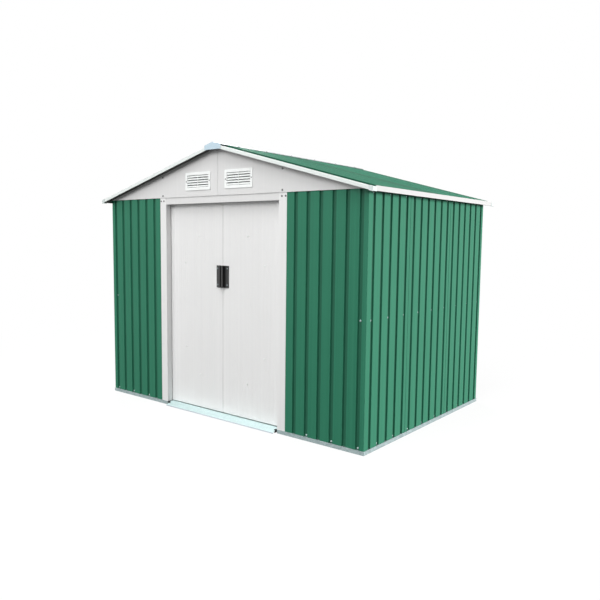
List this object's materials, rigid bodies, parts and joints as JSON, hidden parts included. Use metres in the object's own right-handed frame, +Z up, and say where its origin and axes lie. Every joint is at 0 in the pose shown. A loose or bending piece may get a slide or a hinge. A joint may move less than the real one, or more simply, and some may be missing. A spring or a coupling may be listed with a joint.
{
  "type": "metal storage shed",
  "caption": "Free-standing metal storage shed with grooved green sheet walls, a ribbed pitched roof, white gables with louvred vents and sliding doors on a top track.",
  "frame": {"origin": "on the ground at the centre of the shed's outline", "axes": "+X to the right along the door front, +Y from the front to the back, +Z up"},
  "size_m": [2.57, 1.775, 1.93],
  "materials": {
    "green_paint": "satin",
    "white_paint": "satin",
    "zinc_steel": "satin",
    "black_plastic": "matte",
    "white_plastic": "satin"
  },
  "bodies": {
    "shed": {"base_rail_front": "zinc_steel", "base_rail_rear": "zinc_steel", "base_rail_sides": "zinc_steel", "door_header": "white_paint", "door_ramp": "zinc_steel", "door_sill": "zinc_steel", "door_track": "zinc_steel", "eave_corner_caps": "white_plastic", "eave_trims": "white_paint", "gable_front_left": "white_paint", "gable_front_right": "white_paint", "gable_rear_left": "white_paint", "gable_rear_right": "white_paint", "gable_vents": "white_plastic", "jamb_left": "white_paint", "jamb_right": "white_paint", "rake_trim_front": "white_paint", "rake_trim_rear": "white_paint", "ridge_cap": "zinc_steel", "roof_beams": "zinc_steel", "roof_left_front": "green_paint", "roof_left_middle": "green_paint", "roof_left_rear": "green_paint", "roof_right_front": "green_paint", "roof_right_middle": "green_paint", "roof_right_rear": "green_paint", "wall_front_left": "green_paint", "wall_front_right": "green_paint", "wall_left_front": "green_paint", "wall_left_middle": "green_paint", "wall_left_rear": "green_paint", "wall_mid_rails": "zinc_steel", "wall_rear_left": "green_paint", "wall_rear_middle": "green_paint", "wall_rear_right": "green_paint", "wall_right_front": "green_paint", "wall_right_middle": "green_paint", "wall_right_rear": "green_paint", "wall_top_rails": "zinc_steel"},
    "left_door": {"door_left_frame": "zinc_steel", "door_left_pull": "black_plastic", "door_left_sheet": "white_paint"},
    "right_door": {"door_right_frame": "zinc_steel", "door_right_pull": "black_plastic", "door_right_sheet": "white_paint"}
  },
  "joints": [
    {"name": "left_door_slide", "type": "slide", "parent": "shed", "child": "left_door", "axis": [-1, 0, 0], "range_m": [0, 0.485]},
    {"name": "right_door_slide", "type": "slide", "parent": "shed", "child": "right_door", "axis": [1, 0, 0], "range_m": [0, 0.485]}
  ]
}
